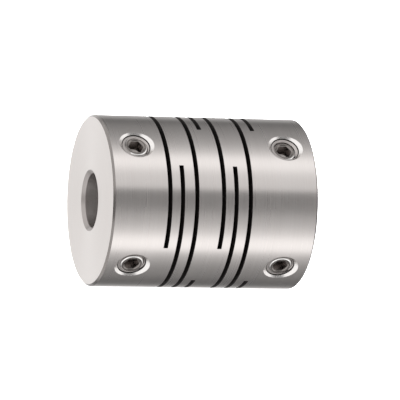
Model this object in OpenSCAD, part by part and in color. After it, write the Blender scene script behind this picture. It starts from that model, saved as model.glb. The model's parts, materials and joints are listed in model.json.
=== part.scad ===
// Slit beam coupling: a one-piece springy body that joins two shafts, with two set screws in each hub.
// The axis lies along X, the origin is at the middle of the body, and the set screws face -Y.
// The body is drawn as the regions that its slits leave: two hubs, seven thin discs, and the eight
// webs of metal that join them.

/* [Body] */
// Outside diameter of the body
body_d = 25; // [20.5:0.5:32]
// Length of each hub, from its end face to the nearest slit
hub_length = 8.15; // [7:0.05:12]
// Bevel on the outer edge of each end face
edge_bevel = 0.3; // [0.1:0.05:0.5]

/* [Bore] */
// Shaft bore of the left hub
left_bore_d = 8; // [5:0.5:9]
// Shaft bore of the right hub
right_bore_d = 8; // [5:0.5:9]
// Bevel at the mouth of each bore
bore_bevel = 0.5; // [0.2:0.05:0.8]
// Radial step from the larger bore out to the relieved bore between the hubs
relief_step = 0.8; // [0.3:0.1:1.2]
// How far the relieved bore runs into each hub
relief_inset = 0.6; // [0.2:0.1:1.5]

/* [Slits] */
// Width of each slit
slit_width = 0.65; // [0.4:0.05:1]
// Thickness of the disc between the two slits of a pair
pair_disc = 1.25; // [0.8:0.05:2]
// Thickness of the disc between one pair of slits and the next
turn_disc = 1.5; // [0.8:0.05:2]
// How far each slit runs past the wall of the relieved bore
slit_past_bore = 1.2; // [0.6:0.1:2]

/* [Tapped holes] */
// Diameter of the thread over its crests
thread_d = 4; // [3:0.1:5]
// Distance from an end face to the axis of its tapped holes
screw_inset = 4.2; // [3.2:0.1:4.5]
// Angle between the two tapped holes of a hub
screw_spread = 90; // [80:5:120]
// How far each countersink spreads beyond the edge of its tapped hole
countersink_spread = 0.6; // [0.2:0.05:0.9]

/* [Set screws] */
// Radial gap between a set screw and its tapped hole
thread_gap = 0.05; // [0.02:0.01:0.1]
// Depth of the upper left screw's face below the body
left_upper_recess = 0.55; // [0:0.05:1]
// Depth of the lower left screw's face below the body
left_lower_recess = 0.4; // [0:0.05:1]
// Depth of the upper right screw's face below the body
right_upper_recess = 0.85; // [0:0.05:1]
// Depth of the lower right screw's face below the body
right_lower_recess = 0.45; // [0:0.05:1]
// How far the tip of the deepest set screw stays outside the larger bore
tip_gap = 1.65; // [0.2:0.05:2]
// Bevel on the outer end of each set screw, where its face is wide enough
head_bevel = 0.3; // [0.1:0.05:0.5]
// Width across the flats of the hexagon socket
socket_af = 2; // [1.5:0.5:2]
// Depth of the hexagon socket
socket_depth = 2; // [1:0.1:2]
// Diameter of the cup at each screw's point
cup_d = 2; // [1.5:0.1:2.2]
// Width of the cutting rim around the cup
cup_rim = 0.1; // [0.05:0.05:0.3]

/* [Hidden] */

// Fineness of the round surfaces
ROUND = 96;
// How far a cutter runs past the surface that it cuts
PAST = 1;

body_r = body_d / 2;
bore_r = max(left_bore_d, right_bore_d) / 2;
relief_r = bore_r + relief_step;
// The slits are chords of the body, and this is the distance from the axis to a slit's floor
slit_floor = relief_r + slit_past_bore;

// The discs lie between slits, thin within a pair and thicker between pairs
DISC_COUNT = 7;
SLIT_COUNT = 8;
function disc_thickness(i) = i % 2 == 1 ? pair_disc : turn_disc;
function discs_before(i) = i <= 1 ? 0 : disc_thickness(i - 1) + discs_before(i - 1);
slit_zone = SLIT_COUNT * slit_width + discs_before(DISC_COUNT + 1);
body_length = 2 * hub_length + slit_zone;
// Lowest X of slit i, and of disc i, which follows it
function slit_x(i) = -slit_zone / 2 + (i - 1) * slit_width + discs_before(i);
function disc_x(i) = slit_x(i) + slit_width;

// Turn about X, from straight up, of the web that each slit leaves: below, above, behind, in front
WEB_TURNS = [180, 0, -90, 90];
function web_turn(i) = WEB_TURNS[(i - 1) % len(WEB_TURNS)];

// Turn about X, from straight up, of the upper and lower tapped holes, which lie either side of -Y
upper_turn = 90 - screw_spread / 2;
lower_turn = 90 + screw_spread / 2;
screw_x = body_length / 2 - screw_inset;

thread_r = thread_d / 2;
screw_r = thread_r - thread_gap;
countersink_r = thread_r + countersink_spread;
deepest_recess = max(left_upper_recess, left_lower_recess, right_upper_recess, right_lower_recess);
screw_length = body_r - bore_r - deepest_recess - tip_gap;

// The socket's mouth is opened by a short cone a little wider than the hexagon's corners
socket_r = socket_af / 2 / cos(30);
SOCKET_LEAD = 0.1;
// The cup's wall slopes at 30 degrees, and the point's outside at 45 degrees
cup_r = cup_d / 2;
cup_depth = cup_r * tan(30);
point_r = cup_r + cup_rim;
point_height = screw_r - point_r;
// The outer bevel leaves at least half of the ring round the socket flat
face_bevel = min(head_bevel, (screw_r - socket_r) / 2);

BODY_COLOUR = "gainsboro";
WEB_COLOUR = "silver";
SCREW_COLOUR = "darkgray";

// Puts a shape drawn upwards along Z onto the X axis, starting at x
module along_x(x) {
  translate([x, 0, 0]) rotate([0, 90, 0]) children();
}

// Puts a shape drawn upwards along Z on the line of a tapped hole, from the coupling's axis outwards
module on_hole(side, turn) {
  translate([side * screw_x, 0, 0]) rotate([turn, 0, 0]) children();
}

// Solid hub with its outer edge bevelled, drawn from its end face upwards
module hub_blank() {
  rotate_extrude($fn = ROUND)
    polygon([
      [0, 0], [body_r - edge_bevel, 0], [body_r, edge_bevel], [body_r, hub_length], [0, hub_length]
    ]);
}

// Shaft bore with its bevelled mouth, which widens to the relieved bore before the slits
module hub_bore(hub_bore_r) {
  rotate_extrude($fn = ROUND)
    polygon([
      [0, -PAST],
      [hub_bore_r + bore_bevel + PAST, -PAST],
      [hub_bore_r, bore_bevel],
      [hub_bore_r, hub_length - relief_inset],
      [relief_r, hub_length - relief_inset],
      [relief_r, hub_length + PAST],
      [0, hub_length + PAST]
    ]);
}

// Tapped hole at its full thread diameter, with the countersink at its mouth
module tapped_hole() {
  cylinder(h = body_r + PAST, r = thread_r, $fn = ROUND);
  translate([0, 0, body_r - countersink_spread])
    cylinder(h = countersink_spread + PAST, r1 = thread_r, r2 = countersink_r + PAST, $fn = ROUND);
}

// Hub whose end face is at the outer end of the given side, -1 for left and 1 for right
module hub(side, hub_bore_r) {
  difference() {
    mirror([side > 0 ? 1 : 0, 0, 0]) along_x(-body_length / 2)
      difference() {
        hub_blank();
        hub_bore(hub_bore_r);
      }
    on_hole(side, upper_turn) tapped_hole();
    on_hole(side, lower_turn) tapped_hole();
  }
}

// Thin ring between two slits
module disc(i) {
  along_x(disc_x(i))
    difference() {
      cylinder(h = disc_thickness(i), r = body_r, $fn = ROUND);
      translate([0, 0, -PAST]) cylinder(h = disc_thickness(i) + 2 * PAST, r = relief_r, $fn = ROUND);
    }
}

// Metal left between a slit's flat floor and the outside of the body
module web(i) {
  intersection() {
    along_x(slit_x(i)) cylinder(h = slit_width, r = body_r, $fn = ROUND);
    rotate([web_turn(i), 0, 0])
      translate([slit_x(i) - PAST, -body_r - PAST, slit_floor])
        cube([slit_width + 2 * PAST, 2 * (body_r + PAST), body_r]);
  }
}

// Outline of a set screw from its axis outwards, with its cup at the bottom and its face at the top
module screw_outline() {
  polygon([
    [0, cup_depth],
    [cup_r, 0],
    [point_r, 0],
    [screw_r, point_height],
    [screw_r, screw_length - face_bevel],
    [screw_r - face_bevel, screw_length],
    [socket_r + SOCKET_LEAD, screw_length],
    [socket_r, screw_length - SOCKET_LEAD],
    [0, screw_length - SOCKET_LEAD]
  ]);
}

// Headless set screw in its hole, with its face the given depth below the body
module set_screw(side, turn, recess) {
  on_hole(side, turn)
    translate([0, 0, body_r - recess - screw_length])
      difference() {
        rotate_extrude($fn = ROUND) screw_outline();
        translate([0, 0, screw_length - socket_depth])
          cylinder(h = socket_depth + PAST, r = socket_r, $fn = 6);
      }
}

module hub_left() { color(BODY_COLOUR) hub(-1, left_bore_d / 2); }
module hub_right() { color(BODY_COLOUR) hub(1, right_bore_d / 2); }

module disc_1() { color(BODY_COLOUR) disc(1); }
module disc_2() { color(BODY_COLOUR) disc(2); }
module disc_3() { color(BODY_COLOUR) disc(3); }
module disc_4() { color(BODY_COLOUR) disc(4); }
module disc_5() { color(BODY_COLOUR) disc(5); }
module disc_6() { color(BODY_COLOUR) disc(6); }
module disc_7() { color(BODY_COLOUR) disc(7); }

module web_1() { color(WEB_COLOUR) web(1); }
module web_2() { color(WEB_COLOUR) web(2); }
module web_3() { color(WEB_COLOUR) web(3); }
module web_4() { color(WEB_COLOUR) web(4); }
module web_5() { color(WEB_COLOUR) web(5); }
module web_6() { color(WEB_COLOUR) web(6); }
module web_7() { color(WEB_COLOUR) web(7); }
module web_8() { color(WEB_COLOUR) web(8); }

module set_screw_left_upper() { color(SCREW_COLOUR) set_screw(-1, upper_turn, left_upper_recess); }
module set_screw_left_lower() { color(SCREW_COLOUR) set_screw(-1, lower_turn, left_lower_recess); }
module set_screw_right_upper() { color(SCREW_COLOUR) set_screw(1, upper_turn, right_upper_recess); }
module set_screw_right_lower() { color(SCREW_COLOUR) set_screw(1, lower_turn, right_lower_recess); }

hub_left();
hub_right();
disc_1();
disc_2();
disc_3();
disc_4();
disc_5();
disc_6();
disc_7();
web_1();
web_2();
web_3();
web_4();
web_5();
web_6();
web_7();
web_8();
set_screw_left_upper();
set_screw_left_lower();
set_screw_right_upper();
set_screw_right_lower();
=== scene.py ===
"""Looks of a one-piece slit beam coupling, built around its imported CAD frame.

The coupling is turned from stainless bar, bored through, cut by eight slits that leave a short web
each, and tapped for two set screws in each hub. Shapes are worked out in millimetres and are turned
to metres when a piece is finished.
"""

from __future__ import annotations

import json
import logging
import math
from collections.abc import Callable, Iterable, Sequence
from dataclasses import dataclass, field
from enum import Enum

import bmesh
import bpy
from bmesh.types import BMesh, BMFace, BMVert
from bpy.types import Material, Mesh, Node, NodeSocket, NodeTree, Object
from mathutils import Matrix, Vector

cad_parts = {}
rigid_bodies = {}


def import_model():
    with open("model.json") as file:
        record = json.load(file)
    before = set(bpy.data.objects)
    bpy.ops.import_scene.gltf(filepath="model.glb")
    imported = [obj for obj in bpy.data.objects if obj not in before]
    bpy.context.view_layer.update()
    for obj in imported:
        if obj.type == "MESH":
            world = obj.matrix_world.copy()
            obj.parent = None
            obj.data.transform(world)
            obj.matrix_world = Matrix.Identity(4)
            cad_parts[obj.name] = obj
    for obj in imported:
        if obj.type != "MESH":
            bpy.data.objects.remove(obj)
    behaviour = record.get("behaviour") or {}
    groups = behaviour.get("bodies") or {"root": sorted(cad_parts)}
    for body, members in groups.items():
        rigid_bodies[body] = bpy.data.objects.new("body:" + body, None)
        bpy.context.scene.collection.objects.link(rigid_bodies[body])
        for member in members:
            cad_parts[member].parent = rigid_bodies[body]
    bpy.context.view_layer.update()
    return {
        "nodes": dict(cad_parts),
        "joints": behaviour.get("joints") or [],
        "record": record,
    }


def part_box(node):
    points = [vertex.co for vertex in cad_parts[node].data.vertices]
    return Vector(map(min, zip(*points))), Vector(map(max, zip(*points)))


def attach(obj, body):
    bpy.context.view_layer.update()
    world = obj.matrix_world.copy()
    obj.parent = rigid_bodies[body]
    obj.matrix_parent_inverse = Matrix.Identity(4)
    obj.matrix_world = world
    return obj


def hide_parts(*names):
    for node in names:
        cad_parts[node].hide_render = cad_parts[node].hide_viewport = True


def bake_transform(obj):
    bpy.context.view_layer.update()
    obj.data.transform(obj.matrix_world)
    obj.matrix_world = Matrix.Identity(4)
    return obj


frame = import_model()

LOG = logging.getLogger("coupling")
MM = 0.001

# Facets in a full turn
ROUND_STEPS = 288
HOLE_STEPS = 96
THREAD_STEPS = 64
HEXAGON = 6
# Lengths in mm: corners closer than MERGE are one, a corner within TOUCH of a surface is on it,
# and a cutting shape reaches CUT_PAST beyond what it cuts
MERGE = 1e-4
TOUCH = 0.012
CUT_PAST = 1.0
# X part of a unit normal: above FLAT a face looks along the axis, below UPRIGHT it looks outwards
FLAT = 0.9
UPRIGHT = 0.05
SHARP_ANGLE = math.radians(20)
# Slope of a thread's sides, and of a hexagon's corners from the middle of its flats
SIXTH = math.radians(30)


class Carving(Enum):
    """How one solid changes another."""

    CUT_AWAY = "DIFFERENCE"
    KEEP_COMMON = "INTERSECT"


class Surface(Enum):
    """The kinds of machined surface on the body and the screws."""

    OUTSIDE = "outside"
    END_FACE = "end_face"
    END_BEVEL = "end_bevel"
    BORE = "bore"
    SLIT_WALL = "slit_wall"
    COUNTERSINK = "countersink"
    HOLE_MOUTH = "hole_mouth"
    TAPPED_THREAD = "tapped_thread"
    SCREW_THREAD = "screw_thread"
    SCREW_RIM = "screw_rim"
    SCREW_FACE = "screw_face"
    SOCKET = "socket"


# --- Mesh tools ---


def clean_shell(shape: BMesh) -> BMesh:
    """Merge doubled corners and point every face outwards.

    Args:
        shape: The shell to clean, in mm.

    Returns:
        The same shell.
    """
    bmesh.ops.remove_doubles(shape, verts=shape.verts, dist=MERGE)
    bmesh.ops.recalc_face_normals(shape, faces=shape.faces)
    return shape


def lathe(outline: Sequence[tuple[float, float]], steps: int, closed: bool) -> BMesh:
    """Turn an outline about the X axis.

    Args:
        outline: Corners as (x, radius) in mm, in order along the outline.
        steps: Facets in the full turn.
        closed: True where the last corner joins the first, as on a ring.

    Returns:
        A closed shell with its faces outwards.
    """
    shape = bmesh.new()
    corners = [shape.verts.new((x, 0.0, radius)) for x, radius in outline]
    ends = corners[1:] + corners[:1] if closed else corners[1:]
    edges = [shape.edges.new(pair) for pair in zip(corners, ends)]
    bmesh.ops.spin(
        shape, geom=corners + edges, cent=(0, 0, 0), axis=(1, 0, 0), dvec=(0, 0, 0),
        angle=math.tau, steps=steps, use_merge=True,
    )
    return clean_shell(shape)


def threaded_rod(
    crest: float, root: float, crest_flat: float, flank: float, pitch: float,
    start: float, end: float,
) -> BMesh:
    """Wind a right-handed thread about the X axis and close its ends.

    Args:
        crest: Radius over the ridge in mm.
        root: Radius between ridges in mm.
        crest_flat: Width of the flat along the ridge in mm.
        flank: Length along X of each sloping side in mm.
        pitch: Advance in one turn in mm.
        start: Lowest X in mm.
        end: Highest X in mm.

    Returns:
        A closed threaded bar whose ridge is centred on X = 0 where it passes +Z.
    """
    shape = bmesh.new()
    turns = math.ceil((end - start) / pitch) + 3
    first = (math.floor(start / pitch) - 1) * pitch
    half = crest_flat / 2
    outline = [
        (-pitch / 2, root), (-half - flank, root), (-half, crest), (half, crest),
        (half + flank, root), (pitch / 2, root),
    ]
    corners = [shape.verts.new((first + x, 0.0, radius)) for x, radius in outline]
    edges = [shape.edges.new(pair) for pair in zip(corners, corners[1:])]
    bmesh.ops.spin(
        shape, geom=corners + edges, cent=(0, 0, 0), axis=(1, 0, 0),
        dvec=(pitch / THREAD_STEPS, 0, 0), angle=math.tau, steps=THREAD_STEPS,
    )
    turn = [*shape.verts, *shape.edges, *shape.faces]
    for count in range(1, turns):
        copy = bmesh.ops.duplicate(shape, geom=turn)["geom"]
        corners = [part for part in copy if isinstance(part, BMVert)]
        bmesh.ops.translate(shape, verts=corners, vec=(count * pitch, 0, 0))
    bmesh.ops.remove_doubles(shape, verts=shape.verts, dist=MERGE)
    for place, outward in ((start, -1.0), (end, 1.0)):
        trim(shape, Vector((place, 0, 0)), Vector((outward, 0, 0)))
    bmesh.ops.recalc_face_normals(shape, faces=shape.faces)
    return shape


def trim(shape: BMesh, place: Vector, outward: Vector) -> None:
    """Cut off what lies beyond a plane, and close the cut.

    Args:
        shape: The shape to cut, in mm.
        place: A point of the plane.
        outward: The plane's normal, towards what is cut off.
    """
    bmesh.ops.bisect_plane(
        shape, geom=[*shape.verts, *shape.edges, *shape.faces], dist=MERGE,
        plane_co=place, plane_no=outward, clear_outer=True,
    )
    rim = [edge for edge in shape.edges if edge.is_boundary]
    bmesh.ops.holes_fill(shape, edges=rim, sides=0)


def work_object(name: str, shape: BMesh) -> Object:
    """Put a shape in the scene as an object.

    Args:
        name: The object's name.
        shape: The shape. It is used up.

    Returns:
        The object.
    """
    mesh = bpy.data.meshes.new(name)
    shape.to_mesh(mesh)
    shape.free()
    piece = bpy.data.objects.new(name, mesh)
    bpy.context.scene.collection.objects.link(piece)
    return piece


def carve(blank: BMesh, tool: BMesh, how: Carving) -> BMesh:
    """Cut one closed shape with another.

    Args:
        blank: The shape that is cut. It is used up.
        tool: The shape that cuts it. It is used up.
        how: What of the blank is kept.

    Returns:
        The cut shape.
    """
    work = work_object("work_blank", blank)
    cutter = work_object("work_tool", tool)
    cut = work.modifiers.new("cut", "BOOLEAN")
    cut.operation = how.value
    cut.solver = "EXACT"
    cut.object = cutter
    result = bmesh.new()
    result.from_object(work, bpy.context.evaluated_depsgraph_get())
    for used in (work, cutter):
        mesh = used.data
        bpy.data.objects.remove(used)
        bpy.data.meshes.remove(mesh)
    bmesh.ops.remove_doubles(result, verts=result.verts, dist=MERGE)
    return result


def from_axis(point: Vector) -> float:
    """Distance of a point from the X axis."""
    return math.hypot(point.y, point.z)


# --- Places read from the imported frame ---


def joint(name: str) -> dict:
    """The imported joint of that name."""
    return next(row for row in frame["joints"] if row["name"] == name)


def mount(name: str) -> dict:
    """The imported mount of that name."""
    return next(row for row in frame["record"]["mounts"] if row["name"] == name)


def x_span(node: str) -> tuple[float, float]:
    """Lowest and highest X of a CAD node, in mm."""
    low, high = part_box(node)
    return low.x / MM, high.x / MM


@dataclass(frozen=True)
class Slit:
    """One slit, and the web that it leaves."""

    number: int
    start: float
    end: float
    floor: float
    towards_web: Vector

    @classmethod
    def from_frame(cls, number: int) -> Slit:
        """Read a slit's place from its web's box and its hinge.

        Args:
            number: The slit's number, from 1 at the left.

        Returns:
            The slit.
        """
        start, end = x_span(f"web_{number}")
        place = Vector(joint(f"slit_{number}_bend")["pos_m"]) / MM
        place.x = 0
        return cls(number, start, end, place.length, place.normalized())

    @property
    def bodies(self) -> tuple[str, str]:
        """The CAD bodies on the slit's left and right."""
        row = joint(f"slit_{self.number}_bend")
        return row["parent"], row["child"]

    def is_open_at(self, point: Vector) -> bool:
        """True where the slit passes that point of the cross-section."""
        return point.dot(self.towards_web) < self.floor


@dataclass(frozen=True)
class TappedHole:
    """A tapped hole's line, from the coupling's axis outwards."""

    node: str
    x: float
    outwards: Vector

    @classmethod
    def from_frame(cls, side: str, height: str) -> TappedHole:
        """Read a hole's line from its screw's box and travel.

        Args:
            side: "left" or "right".
            height: "upper" or "lower".

        Returns:
            The hole.
        """
        node = f"set_screw_{side}_{height}"
        outwards = Vector(joint(f"{side}_{height}_screw_travel")["axis"]).normalized()
        return cls(node, sum(x_span(node)) / 2, outwards)

    def placed(self) -> Matrix:
        """Give the move that lays a shape drawn along X onto the hole's line.

        Returns:
            The move, which turns the shape's +Z along the coupling.
        """
        along = Vector((1, 0, 0))
        across = along.cross(self.outwards)
        turn = Matrix((self.outwards, across, along)).transposed().to_4x4()
        return Matrix.Translation((self.x, 0, 0)) @ turn

    def distance(self, point: Vector) -> float:
        """Distance of a point from the hole's line."""
        arm = point - Vector((self.x, 0, 0))
        return (arm - arm.dot(self.outwards) * self.outwards).length

    def height(self, point: Vector) -> float:
        """How far a point lies outwards along the hole's line."""
        return (point - Vector((self.x, 0, 0))).dot(self.outwards)


# --- Finishes ---


def linear(colour: str) -> tuple[float, float, float, float]:
    """Turn an sRGB colour to linear light.

    Args:
        colour: A hex colour such as "#D8D3D0".

    Returns:
        Linear red, green, blue and alpha.
    """
    parts = [int(colour[i : i + 2], 16) / 255 for i in (1, 3, 5)]
    red, green, blue = [c / 12.92 if c <= 0.04045 else ((c + 0.055) / 1.055) ** 2.4 for c in parts]
    return red, green, blue, 1.0


def add_node(
    tree: NodeTree,
    kind: str,
    settings: dict[str, object] | None = None,
    inputs: dict[str | int, object] | None = None,
) -> Node:
    """Add a node, set it up and link it.

    Args:
        tree: The node tree that gets the node.
        kind: The node's type name.
        settings: Properties of the node, by name.
        inputs: What each input gets, by name or number: an output socket to link, or a value.

    Returns:
        The new node.
    """
    node = tree.nodes.new(kind)
    for name, value in (settings or {}).items():
        setattr(node, name, value)
    for name, value in (inputs or {}).items():
        if isinstance(value, NodeSocket):
            tree.links.new(value, node.inputs[name])
        else:
            node.inputs[name].default_value = value
    return node


def new_tree(name: str) -> tuple[Material, NodeTree, Node]:
    """Start a material.

    Args:
        name: The material's name.

    Returns:
        The material, its node tree and its output node.
    """
    material = bpy.data.materials.new(name)
    material.use_nodes = True
    tree = material.node_tree
    tree.nodes.clear()
    return material, tree, add_node(tree, "ShaderNodeOutputMaterial")


def roughness_from(tree: NodeTree, noise: Node, smooth: float, rough: float) -> Node:
    """Let a noise's middle half run from a smooth to a rough surface.

    Args:
        tree: The node tree that gets the node.
        noise: The noise node.
        smooth: Roughness where the noise is low.
        rough: Roughness where the noise is high.

    Returns:
        The node whose Result is the roughness.
    """
    return add_node(
        tree, "ShaderNodeMapRange", None,
        {"Value": noise.outputs["Fac"], 1: 0.25, 2: 0.75, 3: smooth, 4: rough},
    )


def marks_from(tree: NodeTree, noise: Node, depth_mm: float) -> Node:
    """Let a noise raise fine marks.

    Args:
        tree: The node tree that gets the node.
        noise: The noise node.
        depth_mm: Depth of the marks in mm.

    Returns:
        The node whose Normal is the marked surface's.
    """
    return add_node(
        tree, "ShaderNodeBump", None,
        {"Strength": 1.0, "Distance": depth_mm * MM, "Height": noise.outputs["Fac"]},
    )


@dataclass(frozen=True)
class TurnedStainless:
    """Stainless steel bar left as it comes off the lathe tool.

    The tool leaves fine rings round the axis. Across them light spreads into a wide soft band, and
    along them it stays tight, so the body shows long bands of light crossed by thin lines.
    """

    name: str
    dark: str = "#CBC5C2"
    light: str = "#DBD6D3"
    ring_mm: float = 0.16
    band_mm: float = 1.3
    smooth: float = 0.26
    rough: float = 0.34
    stretch: float = 0.90
    ring_depth_mm: float = 0.0006
    band_share: float = 0.35
    drift: float = 0.6

    def build(self) -> Material:
        """Make the finish.

        Returns:
            The material.
        """
        material, tree, output = new_tree(self.name)
        place = add_node(tree, "ShaderNodeTexCoord")
        split = add_node(tree, "ShaderNodeSeparateXYZ", inputs={0: place.outputs["Object"]})
        spoke = add_node(
            tree, "ShaderNodeCombineXYZ", inputs={1: split.outputs["Y"], 2: split.outputs["Z"]}
        )
        radius = add_node(
            tree, "ShaderNodeVectorMath", {"operation": "LENGTH"}, {0: spoke.outputs[0]}
        )
        turn = add_node(
            tree, "ShaderNodeMath", {"operation": "ARCTAN2"},
            {0: split.outputs["Z"], 1: split.outputs["Y"]},
        )
        # The rings change slowly round the turn, as a tool's marks do
        drift = add_node(
            tree, "ShaderNodeMath", {"operation": "MULTIPLY"}, {0: turn.outputs[0], 1: self.drift}
        )
        where = split.outputs["X"], radius.outputs["Value"], drift.outputs[0]
        rings = self.noise(tree, *where, width_mm=self.ring_mm, detail=3.0)
        bands = self.noise(tree, *where, width_mm=self.band_mm, detail=2.0)
        tone = add_node(
            tree, "ShaderNodeMix", {"data_type": "FLOAT"},
            {"Factor": self.band_share, 2: rings.outputs["Fac"], 3: bands.outputs["Fac"]},
        )
        colour = add_node(
            tree, "ShaderNodeMix", {"data_type": "RGBA"},
            {"Factor": tone.outputs["Result"], 6: linear(self.dark), 7: linear(self.light)},
        )
        spread = roughness_from(tree, rings, self.smooth, self.rough)
        bump = marks_from(tree, rings, self.ring_depth_mm)
        backwards = add_node(
            tree, "ShaderNodeMath", {"operation": "MULTIPLY"}, {0: split.outputs["Z"], 1: -1.0}
        )
        round_axis = add_node(
            tree, "ShaderNodeCombineXYZ", inputs={1: backwards.outputs[0], 2: split.outputs["Y"]}
        )
        tangent = add_node(
            tree, "ShaderNodeVectorTransform",
            {"vector_type": "VECTOR", "convert_from": "OBJECT", "convert_to": "WORLD"},
            {0: round_axis.outputs[0]},
        )
        shader = add_node(
            tree, "ShaderNodeBsdfPrincipled", None,
            {
                "Base Color": colour.outputs["Result"],
                "Metallic": 1.0,
                "Roughness": spread.outputs["Result"],
                "Anisotropic": self.stretch,
                "Anisotropic Rotation": 0.25,
                "Normal": bump.outputs["Normal"],
                "Tangent": tangent.outputs["Vector"],
            },
        )
        tree.links.new(shader.outputs["BSDF"], output.inputs["Surface"])
        return material

    @staticmethod
    def noise(
        tree: NodeTree, x: NodeSocket, radius: NodeSocket, drift: NodeSocket,
        width_mm: float, detail: float,
    ) -> Node:
        """Add noise drawn out round the axis.

        Args:
            tree: The node tree that gets the nodes.
            x: Place along the axis.
            radius: Distance from the axis.
            drift: Place round the turn, in units over which the lines change.
            width_mm: Width of the lines in mm.
            detail: How many finer layers the noise has.

        Returns:
            The noise node.
        """
        wide = [
            add_node(
                tree, "ShaderNodeMath", {"operation": "MULTIPLY"}, {0: part, 1: 1 / (width_mm * MM)}
            )
            for part in (x, radius)
        ]
        line = add_node(
            tree, "ShaderNodeCombineXYZ",
            inputs={0: wide[0].outputs[0], 1: wide[1].outputs[0], 2: drift},
        )
        return add_node(
            tree, "ShaderNodeTexNoise", None,
            {"Vector": line.outputs[0], "Scale": 1.0, "Detail": detail},
        )


@dataclass(frozen=True)
class GrainedSteel:
    """Steel with a fine even grain, for surfaces that show no turning rings.

    Its two colours, its roughness and the size and depth of its grain tell one surface from
    another; on the slit walls, in the holes and on the screws the two colours carry painted shade
    or painted highlight.
    """

    name: str
    dark: str
    light: str
    grain_mm: float
    smooth: float
    rough: float
    depth_mm: float

    def build(self) -> Material:
        """Make the finish.

        Returns:
            The material.
        """
        material, tree, output = new_tree(self.name)
        place = add_node(tree, "ShaderNodeTexCoord")
        grain = add_node(
            tree, "ShaderNodeTexNoise", None,
            {"Vector": place.outputs["Object"], "Scale": 1 / (self.grain_mm * MM), "Detail": 3.0},
        )
        colour = add_node(
            tree, "ShaderNodeMix", {"data_type": "RGBA"},
            {"Factor": grain.outputs["Fac"], 6: linear(self.dark), 7: linear(self.light)},
        )
        spread = roughness_from(tree, grain, self.smooth, self.rough)
        bump = marks_from(tree, grain, self.depth_mm)
        shader = add_node(
            tree, "ShaderNodeBsdfPrincipled", None,
            {
                "Base Color": colour.outputs["Result"],
                "Metallic": 1.0,
                "Roughness": spread.outputs["Result"],
                "Normal": bump.outputs["Normal"],
            },
        )
        tree.links.new(shader.outputs["BSDF"], output.inputs["Surface"])
        return material


@dataclass
class FinishShelf:
    """Every finish of the coupling, made once and shared by the pieces."""

    made: dict[Surface, Material] = field(default_factory=dict)

    def fill(self) -> None:
        """Make each surface's material."""
        finishes = {
            # Long soft bands of light crossed by fine turning lines
            Surface.OUTSIDE: TurnedStainless("turned_stainless_outside"),
            # Faced with a lighter cut, so it is more even and its rings hardly show
            Surface.END_FACE: TurnedStainless(
                "faced_stainless_end", dark="#CAC5C2", light="#D2CDCA",
                smooth=0.38, rough=0.44, stretch=0.6,
            ),
            # Narrow smooth edge, coloured darker than the outside as a painted shade line between
            # the end face and the outside
            Surface.END_BEVEL: TurnedStainless(
                "end_bevel_painted_dark_line", dark="#837E7B", light="#918C89",
                smooth=0.18, rough=0.26, stretch=0.3,
            ),
            # Bored surface, a little duller than the outside, and coloured darker as painted shade
            # inside the bore
            Surface.BORE: TurnedStainless(
                "bored_stainless_painted_shade", dark="#A8A29F", light="#B8B2AF", smooth=0.34, rough=0.44
            ),
            # Painted shade: the slit walls are coloured dark grey, and matt, so the slits read
            # almost black
            Surface.SLIT_WALL: GrainedSteel(
                "slit_wall_painted_shade", "#3C3938", "#565251", 0.05, 0.60, 0.75, 0.002
            ),
            # Cut chamfer, coloured brighter than the body as a painted highlight, with a wide soft
            # shine
            Surface.COUNTERSINK: GrainedSteel(
                "countersink_painted_highlight", "#E4E0DD", "#F1EEEC", 0.20, 0.24, 0.32, 0.0006
            ),
            # First turn of the hole, coloured lighter than the thread below it as painted light at
            # the hole's mouth
            Surface.HOLE_MOUTH: GrainedSteel(
                "hole_mouth_painted_light", "#B4AEAB", "#CAC4C1", 0.12, 0.34, 0.46, 0.001
            ),
            # Tapped flanks, coloured almost black as painted shade inside the hole
            Surface.TAPPED_THREAD: GrainedSteel(
                "tapped_thread_painted_shade", "#1F1C1B", "#35312F", 0.12, 0.34, 0.48, 0.001
            ),
            # Rolled flanks and the bevel under the rim, coloured darker than the rim as painted
            # shade
            Surface.SCREW_THREAD: GrainedSteel(
                "screw_thread_painted_shade", "#8D8784", "#A8A29F", 0.12, 0.24, 0.36, 0.001
            ),
            # Corner coloured near white as a painted highlight, a thin bright line round the face
            Surface.SCREW_RIM: GrainedSteel(
                "screw_rim_painted_highlight", "#EDEAE8", "#F5F3F1", 0.25, 0.26, 0.36, 0.0004
            ),
            # Face of the screws, greyer than the body
            Surface.SCREW_FACE: GrainedSteel(
                "set_screw_steel", "#7F7976", "#99938F", 0.12, 0.20, 0.32, 0.0015
            ),
            # Broached hexagon with its dark corners
            Surface.SOCKET: GrainedSteel(
                "broached_socket_steel", "#8C8683", "#A8A29F", 0.10, 0.18, 0.30, 0.001
            ),
        }
        for surface, finish in finishes.items():
            self.made[surface] = finish.build()

    def __getitem__(self, surface: Surface) -> Material:
        """The material of that surface."""
        return self.made[surface]


# --- Finished pieces ---


def mark_sharp_edges(shape: BMesh) -> None:
    """Shade every face smooth and keep the machined corners crisp."""
    for face in shape.faces:
        face.smooth = True
    for edge in shape.edges:
        edge.smooth = len(edge.link_faces) == 2 and edge.calc_face_angle(math.pi) < SHARP_ANGLE


def set_round_normals(mesh: Mesh, radii: Iterable[float]) -> None:
    """Give the round surfaces about the axis exactly radial normals, so that holes leave no dents.

    Args:
        mesh: The mesh, in mm.
        radii: Radius of each round surface in mm.
    """
    radii = list(radii)
    normals = [Vector(corner.vector) for corner in mesh.corner_normals]
    for polygon in mesh.polygons:
        if abs(polygon.normal.x) > UPRIGHT:
            continue
        reach = [from_axis(mesh.vertices[i].co) for i in polygon.vertices]
        if not any(all(abs(r - radius) < TOUCH for r in reach) for radius in radii):
            continue
        for corner in polygon.loop_indices:
            place = mesh.vertices[mesh.loops[corner].vertex_index].co
            spoke = Vector((0, place.y, place.z)).normalized()
            normals[corner] = spoke if spoke.dot(polygon.normal) > 0 else -spoke
    mesh.normals_split_custom_set(normals)


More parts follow.
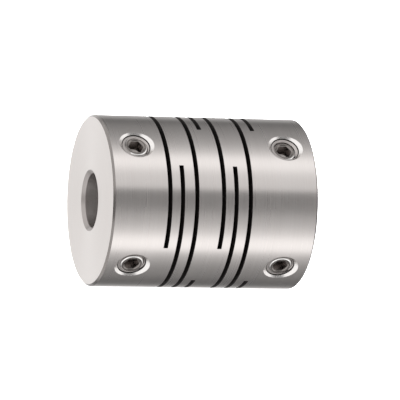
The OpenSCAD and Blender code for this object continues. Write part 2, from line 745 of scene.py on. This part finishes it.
def finish_piece(
    name: str,
    shape: BMesh,
    shelf: FinishShelf,
    surface_of: Callable[[BMFace], Surface],
    radii: Iterable[float] = (),
) -> Object:
    """Turn a shape in mm into a finished object in metres.

    Args:
        name: The piece's name.
        shape: The shape. It is used up.
        shelf: The finishes.
        surface_of: Says what surface a face belongs to.
        radii: Round surfaces about the axis that get exact normals, in mm.

    Returns:
        The object, at the origin, with its place in its mesh.
    """
    mark_sharp_edges(shape)
    surfaces = [surface_of(face) for face in shape.faces]
    used = [surface for surface in Surface if surface in surfaces]
    for face, surface in zip(shape.faces, surfaces):
        face.material_index = used.index(surface)
    mesh = bpy.data.meshes.new(name)
    shape.to_mesh(mesh)
    shape.free()
    for surface in used:
        mesh.materials.append(shelf[surface])
    set_round_normals(mesh, radii)
    mesh.transform(Matrix.Scale(MM, 4))
    piece = bpy.data.objects.new(name, mesh)
    bpy.context.scene.collection.objects.link(piece)
    LOG.info("%s: %d faces, %s", name, len(mesh.polygons), ", ".join(s.value for s in used))
    return piece


# --- The one-piece body: hubs, discs and webs ---


@dataclass
class SlitBody:
    """The turned and slit body, drawn as the regions that its slits leave.

    Lengths are in mm.
    """

    shelf: FinishShelf
    slits: list[Slit]
    holes: list[TappedHole]
    end_bevel: float = 0.3
    bore_bevel: float = 0.5
    rim_break: float = 0.04
    thread_major: float = 2.0
    thread_minor: float = 1.65
    thread_pitch: float = 0.7
    thread_crest: float = 0.1
    tap_depth: float = 2.0
    countersink_spread: float = 0.6
    # Width of the ring at the countersink's inner edge that is coloured dark as a painted shade
    # line
    shade_ring_width: float = 0.13
    mouth_depth: float = 0.22
    web_rows: int = 4
    # Each web stops this short of its neighbours, so that their flat faces don't cross
    seam: float = 0.0005

    def __post_init__(self) -> None:
        """Read the body's radii from the frame."""
        self.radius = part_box("disc_1")[1].z / MM
        inner = min(from_axis(corner.co) for corner in frame["nodes"]["disc_1"].data.vertices)
        self.relief = round(inner / MM, 2)

    @property
    def radii(self) -> tuple[float, ...]:
        """Radii of the body's round surfaces, in mm."""
        return self.radius, self.relief, mount("bore_left")["dims"]["r_mm"]

    def break_rim(self, shape: BMesh, slit: Slit, x: float) -> None:
        """Take the sharp edge off a slit's mouth, as far round as the slit is open.

        Args:
            shape: A region of the body.
            slit: The slit that the rim belongs to.
            x: Which side of the slit, in mm.
        """
        wall = [f for f in shape.faces if all(abs(v.co.x - x) < TOUCH for v in f.verts)]
        edges = {edge for face in wall for edge in face.edges}
        corners = {corner for face in wall for corner in face.verts}
        bmesh.ops.bisect_plane(
            shape, geom=[*corners, *edges, *wall], dist=MERGE,
            plane_co=slit.towards_web * slit.floor, plane_no=slit.towards_web,
        )
        rim = [
            edge for edge in shape.edges
            if all(abs(v.co.x - x) < TOUCH for v in edge.verts)
            and all(from_axis(v.co) > self.radius - TOUCH for v in edge.verts)
            and slit.is_open_at((edge.verts[0].co + edge.verts[1].co) / 2)
        ]
        bmesh.ops.bevel(
            shape, geom=rim, offset=self.rim_break, offset_type="OFFSET", segments=2,
            profile=0.5, affect="EDGES", material=-1, clamp_overlap=True,
        )

    def hub_surface(self, face: BMFace, end_x: float, slit_x: float) -> Surface:
        """Say which machined surface of a hub a face belongs to.

        Args:
            face: A face of the hub.
            end_x: X of the hub's end face in mm.
            slit_x: X of its slit wall in mm.

        Returns:
            The surface.
        """
        middle = face.calc_center_median()
        reach = from_axis(middle)
        if abs(face.normal.x) > FLAT and abs(middle.x - end_x) < TOUCH:
            return Surface.END_FACE
        if abs(face.normal.x) > FLAT and abs(middle.x - slit_x) < TOUCH:
            return Surface.SLIT_WALL
        if abs(middle.x - end_x) < self.end_bevel and reach > self.radius - self.end_bevel:
            return Surface.END_BEVEL
        reaches = [from_axis(corner.co) for corner in face.verts]
        if abs(face.normal.x) < UPRIGHT and min(reaches) > self.radius - TOUCH:
            return Surface.OUTSIDE
        on_relief = any(abs(r - self.relief) <= TOUCH for r in reaches)
        floor = self.radius - self.countersink_spread
        for hole in self.holes:
            height, distance = hole.height(middle), hole.distance(middle)
            in_hole = height > 0 and distance < self.thread_major + TOUCH
            if in_hole and not on_relief and reach > self.relief:
                # The first turn of the hole gets painted light, lighter than the painted shade of
                # the thread below
                in_mouth = height > floor - self.mouth_depth
                return Surface.HOLE_MOUTH if in_mouth else Surface.TAPPED_THREAD
            if height > floor - TOUCH:
                # A thin ring at the countersink's inner edge takes the thread's colour, a painted
                # shade line round the hole
                if distance < self.thread_major + self.shade_ring_width:
                    return Surface.TAPPED_THREAD
                if distance < self.thread_major + self.countersink_spread:
                    return Surface.COUNTERSINK
        return Surface.BORE if reach < self.radius / 2 else Surface.OUTSIDE

    def hub(self, side: str) -> Object:
        """Make a hub with its bore, its slit wall and its two tapped holes.

        Args:
            side: "left" or "right".

        Returns:
            The finished hub.
        """
        node = f"hub_{side}"
        low, high = x_span(node)
        sign = -1.0 if side == "left" else 1.0
        end_x, slit_x = (low, high) if side == "left" else (high, low)
        bore = mount(f"bore_{side}")
        bore_r, bore_length = bore["dims"]["r_mm"], bore["dims"]["length_mm"]
        step_x = abs(bore["pos_m"][0]) / MM - bore_length / 2
        reach = abs(end_x)
        outline = [
            (reach, self.radius - self.end_bevel), (reach - self.end_bevel, self.radius),
            (abs(slit_x), self.radius), (abs(slit_x), self.relief), (step_x, self.relief),
            (step_x, bore_r), (reach - self.bore_bevel, bore_r), (reach, bore_r + self.bore_bevel),
        ]
        shape = lathe([(sign * x, radius) for x, radius in outline], ROUND_STEPS, closed=True)
        slit = self.slits[0] if side == "left" else self.slits[-1]
        self.break_rim(shape, slit, slit_x)
        for hole in [hole for hole in self.holes if hole.x * sign > 0]:
            shape = carve(shape, self.tap(hole), Carving.CUT_AWAY)
            shape = carve(shape, self.countersink(hole), Carving.CUT_AWAY)
        piece = finish_piece(
            f"turned_{node}", shape, self.shelf,
            lambda face: self.hub_surface(face, end_x, slit_x), self.radii,
        )
        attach(piece, node)
        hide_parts(node)
        return piece

    def tap(self, hole: TappedHole) -> BMesh:
        """Make the threaded shape that a tap cuts away.

        Args:
            hole: The hole to tap.

        Returns:
            The shape, on the hole's line.
        """
        flank = (self.thread_major - self.thread_minor) * math.tan(SIXTH)
        shape = threaded_rod(
            self.thread_major, self.thread_minor, self.thread_crest, flank, self.thread_pitch,
            self.relief - self.tap_depth, self.radius + CUT_PAST,
        )
        shape.transform(hole.placed())
        return shape

    def countersink(self, hole: TappedHole) -> BMesh:
        """Make the cone that opens a tapped hole's mouth.

        Args:
            hole: The hole to countersink.

        Returns:
            The shape, on the hole's line.
        """
        floor = self.radius - self.countersink_spread
        top = self.radius + CUT_PAST
        inner = self.thread_major
        shape = lathe(
            [
                (floor, 0), (floor, inner), (floor + self.shade_ring_width, inner + self.shade_ring_width),
                (top, inner + top - floor), (top, 0),
            ],
            HOLE_STEPS, closed=False,
        )
        shape.transform(hole.placed())
        return shape

    def disc(self, number: int) -> Object:
        """Make a thin disc between two slits.

        Args:
            number: The disc's number, from 1 at the left.

        Returns:
            The finished disc.
        """
        node = f"disc_{number}"
        low, high = x_span(node)
        outline = [(low, self.relief), (low, self.radius), (high, self.radius), (high, self.relief)]
        shape = lathe(outline, ROUND_STEPS, closed=True)
        self.break_rim(shape, self.slits[number - 1], low)
        self.break_rim(shape, self.slits[number], high)
        piece = finish_piece(f"slit_{node}", shape, self.shelf, self.thin_surface, self.radii)
        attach(piece, node)
        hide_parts(node)
        return piece

    def thin_surface(self, face: BMFace) -> Surface:
        """Say which machined surface of a disc or a web a face belongs to.

        Args:
            face: A face of the piece.

        Returns:
            The surface.
        """
        if abs(face.normal.x) > FLAT:
            return Surface.SLIT_WALL
        reach = [from_axis(corner.co) for corner in face.verts]
        if min(reach) > self.radius - 2 * self.rim_break:
            return Surface.OUTSIDE
        return Surface.BORE if max(reach) < self.relief + TOUCH else Surface.SLIT_WALL

    def web(self, slit: Slit) -> Object:
        """Make the web that a slit leaves.

        Args:
            slit: The slit.

        Returns:
            The finished web.
        """
        node = f"web_{slit.number}"
        first, last = slit.start + self.seam, slit.end - self.seam
        edge = [
            first + (last - first) * row / self.web_rows for row in range(self.web_rows + 1)
        ]
        outline = [(x, self.radius) for x in edge] + [(x, self.relief) for x in reversed(edge)]
        shape = lathe(outline, ROUND_STEPS, closed=True)
        trim(shape, slit.towards_web * slit.floor, -slit.towards_web)
        bmesh.ops.recalc_face_normals(shape, faces=shape.faces)
        piece = finish_piece(f"slit_{node}", shape, self.shelf, self.thin_surface, self.radii)
        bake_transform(piece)
        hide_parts(node)
        return piece

    def build(self) -> list[Object]:
        """Make the whole body."""
        return [
            self.hub("left"),
            *(self.disc(number) for number in range(1, len(self.slits))),
            *(self.web(slit) for slit in self.slits),
            self.hub("right"),
        ]


# --- Set screws ---


@dataclass
class SetScrew:
    """A headless set screw with a hexagon socket and a cup point.

    Lengths are in mm.
    """

    shelf: FinishShelf
    hole: TappedHole
    radius: float = 1.95
    root: float = 1.52
    pitch: float = 0.7
    crest_flat: float = 0.09
    face_bevel: float = 0.36
    corner_break: float = 0.08
    socket_flats: float = 2.0
    socket_depth: float = 1.75
    socket_lead: float = 0.12
    pilot_share: float = 0.98
    pilot_slope: float = math.radians(31)
    pilot_overlap: float = 0.2
    cup_radius: float = 1.0
    cup_rim: float = 0.1

    def __post_init__(self) -> None:
        """Read the screw's ends from its CAD node."""
        corners = [Vector(v.co) / MM for v in frame["nodes"][self.hole.node].data.vertices]
        heights = [self.hole.height(corner) for corner in corners]
        self.tip, self.face = min(heights), max(heights)
        self.socket = self.socket_flats / 2 / math.cos(SIXTH)
        self.socket_floor = self.face - self.socket_depth
        self.pilot_radius = self.socket_flats / 2 * self.pilot_share
        self.pilot_tip = self.socket_floor - self.pilot_radius * math.tan(self.pilot_slope)

    def outline(self) -> list[tuple[float, float]]:
        """Draw the screw's outline.

        Returns:
            Corners as (height along the hole, radius) in mm, from the cup to the face.
        """
        cup_depth = self.cup_radius * math.tan(SIXTH)
        point = self.cup_radius + self.cup_rim
        return [
            (self.tip + cup_depth, 0), (self.tip, self.cup_radius), (self.tip, point),
            (self.tip + self.radius - point, self.radius),
            (self.face - self.face_bevel, self.radius),
            (self.face - self.corner_break, self.radius - self.face_bevel + self.corner_break),
            (self.face, self.radius - self.face_bevel - self.corner_break),
            (self.face, self.socket + self.socket_lead),
            (self.face - self.socket_lead, self.socket),
            (self.face - self.socket_lead, 0),
        ]

    def broach(self) -> BMesh:
        """Make the hexagon that is cut from the face.

        Returns:
            The hexagon, along X.
        """
        floor, top = self.socket_floor, self.face + CUT_PAST
        outline = [(floor, 0), (floor, self.socket), (top, self.socket), (top, 0)]
        return lathe(outline, HEXAGON, closed=False)

    def pilot(self) -> BMesh:
        """Make the shallow cone that the pilot drill leaves below the hexagon.

        Returns:
            The cone, along X.
        """
        top, radius = self.socket_floor + self.pilot_overlap, self.pilot_radius
        outline = [(self.pilot_tip, 0), (self.socket_floor, radius), (top, radius), (top, 0)]
        return lathe(outline, HOLE_STEPS, closed=False)

    def surface(self, face: BMFace) -> Surface:
        """Say which surface of the screw a face belongs to.

        Args:
            face: A face of the screw.

        Returns:
            The surface.
        """
        middle = face.calc_center_median()
        height, reach = self.hole.height(middle), self.hole.distance(middle)
        if height > self.face - self.corner_break:
            # The rounded corner gets the near-white rim colour, a painted highlight
            if reach > self.radius - self.face_bevel - self.corner_break:
                return Surface.SCREW_RIM
            if reach > self.socket:
                return Surface.SCREW_FACE
        if height > self.pilot_tip - TOUCH and reach < self.socket + TOUCH:
            return Surface.SOCKET
        # The threads and the bevel under the rim get the darker thread colour, painted shade
        return Surface.SCREW_THREAD

    def build(self) -> Object:
        """Make the screw.

        Returns:
            The finished screw.
        """
        flank = (self.radius - self.root) * math.tan(SIXTH)
        shape = threaded_rod(
            self.radius, self.root, self.crest_flat, flank, self.pitch,
            self.tip - CUT_PAST, self.face + CUT_PAST,
        )
        shape = carve(shape, lathe(self.outline(), HOLE_STEPS, closed=False), Carving.KEEP_COMMON)
        shape = carve(shape, self.broach(), Carving.CUT_AWAY)
        shape = carve(shape, self.pilot(), Carving.CUT_AWAY)
        shape.transform(self.hole.placed())
        piece = finish_piece(f"hex_{self.hole.node}", shape, self.shelf, self.surface)
        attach(piece, self.hole.node)
        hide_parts(self.hole.node)
        return piece


# --- Studio and camera ---


@dataclass(frozen=True)
class SoftPanel:
    """A round soft light or black card, full out to one angle and faded out at a wider one."""

    towards: tuple[float, float, float]
    full_degrees: float
    edge_degrees: float
    level: float


@dataclass
class Studio:
    """A pale light table in a round white room, under a dome of soft light.

    The metal mirrors only the dome, and the room is only seen by the camera, as with a tent round a
    shiny product. The dome's light changes with the angle about the coupling's axis, given as pairs
    of degrees and level, where 0 is straight ahead of the coupling and 90 is straight up. Lengths
    are in metres.
    """

    floor_z: float
    room_radius: float = 1.4
    room_height: float = 2.2
    room_cove: float = 0.5
    cove_steps: int = 12
    room_steps: int = 96
    room_merge: float = 1e-6
    table_glow: float = 0.92
    cloud_scale: float = 3.0
    wash_size: float = 0.9
    wash_watts: float = 9.0
    wash_height: float = 1.1
    dome: tuple[tuple[float, float], ...] = (
        (-180, 1.00), (-165, 0.80), (-155, 0.45), (-148, 0.28), (-140, 0.17), (-126, 0.19),
        (-115, 0.27), (-100, 0.33), (-88, 0.44), (-77, 0.63), (-67, 1.00), (-57, 1.55),
        (-48, 1.42), (-39, 1.02), (-30, 0.76), (-22, 0.58), (-14, 0.46), (-6, 0.28), (2, 0.20),
        (10, 0.18), (17, 0.22), (21, 0.55), (26, 0.88), (32, 0.88), (43, 0.97), (52, 1.25),
        (61, 1.38), (71, 1.07), (81, 0.74), (91, 0.54), (103, 0.42), (117, 0.33), (133, 0.24),
        (143, 0.15), (149, 0.32), (158, 0.47), (168, 0.64), (180, 1.00),
    )
    dome_top: float = 2.0
    # Plain soft walls off both ends, each faded in between two shares of the X axis
    side_level: float = 1.15
    left_side: tuple[float, float] = (-0.22, -0.45)
    right_side: tuple[float, float] = (0.62, 0.82)
    panels: tuple[SoftPanel, ...] = (
        # Behind on the left, mirrored evenly by the left end face
        SoftPanel((-0.38, 0.92, 0.0), 24, 38, 1.22),
    )
    # Black cards off both ends, which draw a dark line along the end bevels
    cards: tuple[SoftPanel, ...] = (
        SoftPanel((-0.95, -0.30, -0.06), 9, 16, 0.75),
        SoftPanel((0.95, 0.30, -0.06), 9, 16, 0.75),
    )

    def room(self) -> Object:
        """Make the floor and the wall that it curves up into.

        Returns:
            The room.
        """
        shape = bmesh.new()
        cove, flat = self.room_cove, self.room_radius - self.room_cove
        outline = [(0.0, 0.0), (flat, 0.0)]
        for step in range(1, self.cove_steps + 1):
            turn = math.radians(90 * step / self.cove_steps)
            outline.append((flat + cove * math.sin(turn), cove - cove * math.cos(turn)))
        outline.append((self.room_radius, self.room_height))
        corners = [
            shape.verts.new((radius, 0.0, self.floor_z + height)) for radius, height in outline
        ]
        edges = [shape.edges.new(pair) for pair in zip(corners, corners[1:])]
        bmesh.ops.spin(
            shape, geom=corners + edges, cent=(0, 0, 0), axis=(0, 0, 1), dvec=(0, 0, 0),
            angle=math.tau, steps=self.room_steps, use_merge=True,
        )
        bmesh.ops.remove_doubles(shape, verts=shape.verts, dist=self.room_merge)
        for face in shape.faces:
            face.smooth = True
        room = work_object("pale_floor", shape)
        room.data.materials.append(self.light_table())
        room.visible_glossy = False
        room.visible_shadow = False
        return room

    def light_table(self) -> Material:
        """Make milky acrylic lit from below, which leaves only a faint shadow under the part.

        Returns:
            The material.
        """
        material, tree, output = new_tree("milky_acrylic_light_table")
        place = add_node(tree, "ShaderNodeTexCoord")
        cloud = add_node(
            tree, "ShaderNodeTexNoise", None,
            {"Vector": place.outputs["Object"], "Scale": self.cloud_scale},
        )
        white = add_node(
            tree, "ShaderNodeMix", {"data_type": "RGBA"},
            {"Factor": cloud.outputs["Fac"], 6: linear("#F2F2F2"), 7: linear("#F6F6F6")},
        )
        shader = add_node(
            tree, "ShaderNodeBsdfPrincipled", None,
            {
                "Base Color": white.outputs["Result"],
                "Roughness": 0.9,
                "Specular IOR Level": 0.0,
                "Emission Color": (1.0, 1.0, 1.0, 1.0),
                "Emission Strength": self.table_glow,
            },
        )
        tree.links.new(shader.outputs["BSDF"], output.inputs["Surface"])
        return material

    def light_dome(self) -> None:
        """Light the scene from a dome whose bands run along the coupling."""
        world = bpy.data.worlds.new("studio_dome")
        bpy.context.scene.world = world
        world.use_nodes = True
        tree = world.node_tree
        tree.nodes.clear()
        place = add_node(tree, "ShaderNodeTexCoord")
        split = add_node(tree, "ShaderNodeSeparateXYZ", inputs={0: place.outputs["Generated"]})
        forwards = add_node(
            tree, "ShaderNodeMath", {"operation": "MULTIPLY"}, {0: split.outputs["Y"], 1: -1.0}
        )
        turn = add_node(
            tree, "ShaderNodeMath", {"operation": "ARCTAN2"},
            {0: split.outputs["Z"], 1: forwards.outputs[0]},
        )
        share = add_node(
            tree, "ShaderNodeMapRange", None,
            {"Value": turn.outputs[0], 1: -math.pi, 2: math.pi, 3: 0.0, 4: 1.0},
        )
        bands = add_node(tree, "ShaderNodeFloatCurve", None, {"Value": share.outputs["Result"]})
        curve = bands.mapping.curves[0]
        points = [((angle + 180) / 360, level / self.dome_top) for angle, level in self.dome]
        curve.points[0].location, curve.points[1].location = points[0], points[-1]
        for point in points[1:-1]:
            curve.points.new(*point)
        for point in curve.points:
            point.handle_type = "AUTO_CLAMPED"
        bands.mapping.update()
        light = add_node(
            tree, "ShaderNodeMath", {"operation": "MULTIPLY"},
            {0: bands.outputs["Value"], 1: self.dome_top},
        )
        for inner, outer in (self.left_side, self.right_side):
            side = add_node(
                tree, "ShaderNodeMapRange", {"interpolation_type": "SMOOTHSTEP"},
                {"Value": split.outputs["X"], 1: inner, 2: outer, 3: 0.0, 4: 1.0},
            )
            light = add_node(
                tree, "ShaderNodeMix", {"data_type": "FLOAT"},
                {"Factor": side.outputs["Result"], 2: light.outputs[0], 3: self.side_level},
            )
        for panel in self.panels:
            shine = self.soft_panel(tree, place.outputs["Generated"], panel)
            light = add_node(
                tree, "ShaderNodeMath", {"operation": "MAXIMUM"},
                {0: light.outputs[0], 1: shine.outputs[0]},
            )
        for card in self.cards:
            shade = self.soft_panel(tree, place.outputs["Generated"], card)
            left = add_node(
                tree, "ShaderNodeMath", {"operation": "SUBTRACT"}, {0: 1.0, 1: shade.outputs[0]}
            )
            light = add_node(
                tree, "ShaderNodeMath", {"operation": "MULTIPLY"},
                {0: light.outputs[0], 1: left.outputs[0]},
            )
        sky = add_node(tree, "ShaderNodeBackground", None, {"Strength": light.outputs[0]})
        sky.inputs["Color"].default_value = (1, 1, 1, 1)
        output = add_node(tree, "ShaderNodeOutputWorld")
        tree.links.new(sky.outputs["Background"], output.inputs["Surface"])

    @staticmethod
    def soft_panel(tree: NodeTree, direction: NodeSocket, panel: SoftPanel) -> Node:
        """Add a soft panel to the dome's nodes.

        Args:
            tree: The dome's node tree.
            direction: Where each ray goes.
            panel: The panel.

        Returns:
            The node whose value is the panel's light.
        """
        near = add_node(
            tree, "ShaderNodeVectorMath", {"operation": "DOT_PRODUCT"},
            {0: direction, 1: Vector(panel.towards).normalized()},
        )
        fade = add_node(
            tree, "ShaderNodeMapRange", {"interpolation_type": "SMOOTHSTEP"},
            {
                "Value": near.outputs["Value"], 1: math.cos(math.radians(panel.edge_degrees)),
                2: math.cos(math.radians(panel.full_degrees)), 3: 0.0, 4: 1.0,
            },
        )
        return add_node(
            tree, "ShaderNodeMath", {"operation": "MULTIPLY"},
            {0: fade.outputs["Result"], 1: panel.level},
        )

    def wash(self) -> Object:
        """Hang a wide soft light over the table, out of the metal's sight.

        Returns:
            The light.
        """
        lamp = bpy.data.lights.new("table_wash", "AREA")
        lamp.shape = "DISK"
        lamp.size = self.wash_size
        lamp.energy = self.wash_watts
        light = bpy.data.objects.new("table_wash", lamp)
        light.location = (0, 0, self.wash_height)
        light.visible_glossy = False
        bpy.context.scene.collection.objects.link(light)
        return light

    def build(self) -> None:
        """Set up the room and its light."""
        self.room()
        self.light_dome()
        self.wash()
        bpy.context.scene.view_settings.view_transform = "Standard"


@dataclass(frozen=True)
class ViewCamera:
    """A long-lens camera in front of the coupling, a little to its left."""

    place_mm: tuple[float, float, float] = (-189.914, -603.416, 38.124)
    aim_mm: tuple[float, float, float] = (1.237, -0.368, 0.391)
    roll_degrees: float = 2.2235
    lens: float = 388.64
    sensor: float = 36.0
    clip: tuple[float, float] = (0.05, 6.0)

    def build(self) -> Object:
        """Make the camera and give it to the scene.

        Returns:
            The camera.
        """
        data = bpy.data.cameras.new("view_camera")
        data.lens, data.sensor_width, data.sensor_fit = self.lens, self.sensor, "HORIZONTAL"
        data.clip_start, data.clip_end = self.clip
        camera = bpy.data.objects.new("view_camera", data)
        place, aim = Vector(self.place_mm) * MM, Vector(self.aim_mm) * MM
        look = (aim - place).normalized()
        level = look.cross(Vector((0, 0, 1))).normalized()
        upright = level.cross(look)
        roll = math.radians(self.roll_degrees)
        right = math.cos(roll) * level + math.sin(roll) * upright
        up = math.cos(roll) * upright - math.sin(roll) * level
        turn = Matrix((right, up, -look)).transposed().to_4x4()
        camera.matrix_world = Matrix.Translation(place) @ turn
        bpy.context.scene.collection.objects.link(camera)
        bpy.context.scene.camera = camera
        return camera


def main() -> None:
    """Build the coupling, the studio and the camera, and report each piece."""
    logging.basicConfig(level=logging.INFO, format="%(name)s: %(message)s")
    shelf = FinishShelf()
    shelf.fill()
    slits = [Slit.from_frame(number) for number in range(1, 9)]
    holes = [
        TappedHole.from_frame(side, height)
        for side in ("left", "right") for height in ("upper", "lower")
    ]
    body = SlitBody(shelf, slits, holes)
    pieces = body.build()
    pieces += [SetScrew(shelf, hole).build() for hole in holes]
    LOG.info("%d pieces made", len(pieces))
    Studio(floor_z=-body.radius * MM).build()
    ViewCamera().build()


if __name__ == "__main__":
    main()
